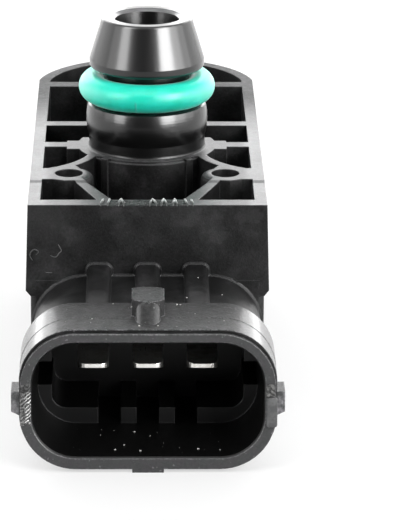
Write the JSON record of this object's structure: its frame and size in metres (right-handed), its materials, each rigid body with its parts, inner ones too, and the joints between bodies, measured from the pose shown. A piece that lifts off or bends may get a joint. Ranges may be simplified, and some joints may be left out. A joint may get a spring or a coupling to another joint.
{
  "type": "manifold pressure sensor",
  "caption": "Manifold absolute pressure sensor: ribbed black flange with a spigot port and its sealing ring, a screw hole and a keyed blade connector.",
  "frame": {"origin": "port axis where it meets the mounting face", "axes": "+Z out of the port, -Y towards the mouth of the connector, +X to the right seen from the connector with the port up"},
  "size_m": [0.0246, 0.0713, 0.0329],
  "materials": {
    "housing_plastic": "satin",
    "cover_plastic": "satin",
    "sealant": "satin",
    "ring_rubber": "satin",
    "bush_steel": "satin",
    "tinned_metal": "satin",
    "board_laminate": "gloss",
    "ceramic": "satin",
    "resistor_coat": "satin",
    "solder": "gloss",
    "cell_metal": "satin",
    "cap_metal": "satin",
    "cell_glass": "gloss",
    "silicon": "gloss",
    "lead_gold": "gloss",
    "bead_glass": "gloss",
    "wire_metal": "gloss",
    "seal_rubber": "satin"
  },
  "bodies": {
    "root": {"housing": "housing_plastic", "back_cover": "cover_plastic", "cover_sealant": "sealant", "port_o_ring": "ring_rubber", "mounting_bush": "bush_steel", "terminal_left": "tinned_metal", "terminal_middle": "tinned_metal", "terminal_right": "tinned_metal", "circuit_board": "board_laminate", "board_capacitors": "ceramic", "board_resistors": "resistor_coat", "terminal_solder": "solder", "cell_base": "cell_metal", "pressure_tube": "cell_metal", "cell_cap": "cap_metal", "glass_pedestal": "cell_glass", "pressure_chip": "silicon", "cell_leads": "lead_gold", "lead_glass_beads": "bead_glass", "lead_solder": "solder", "bond_wires": "wire_metal", "cell_seal": "seal_rubber"}
  },
  "joints": []
}
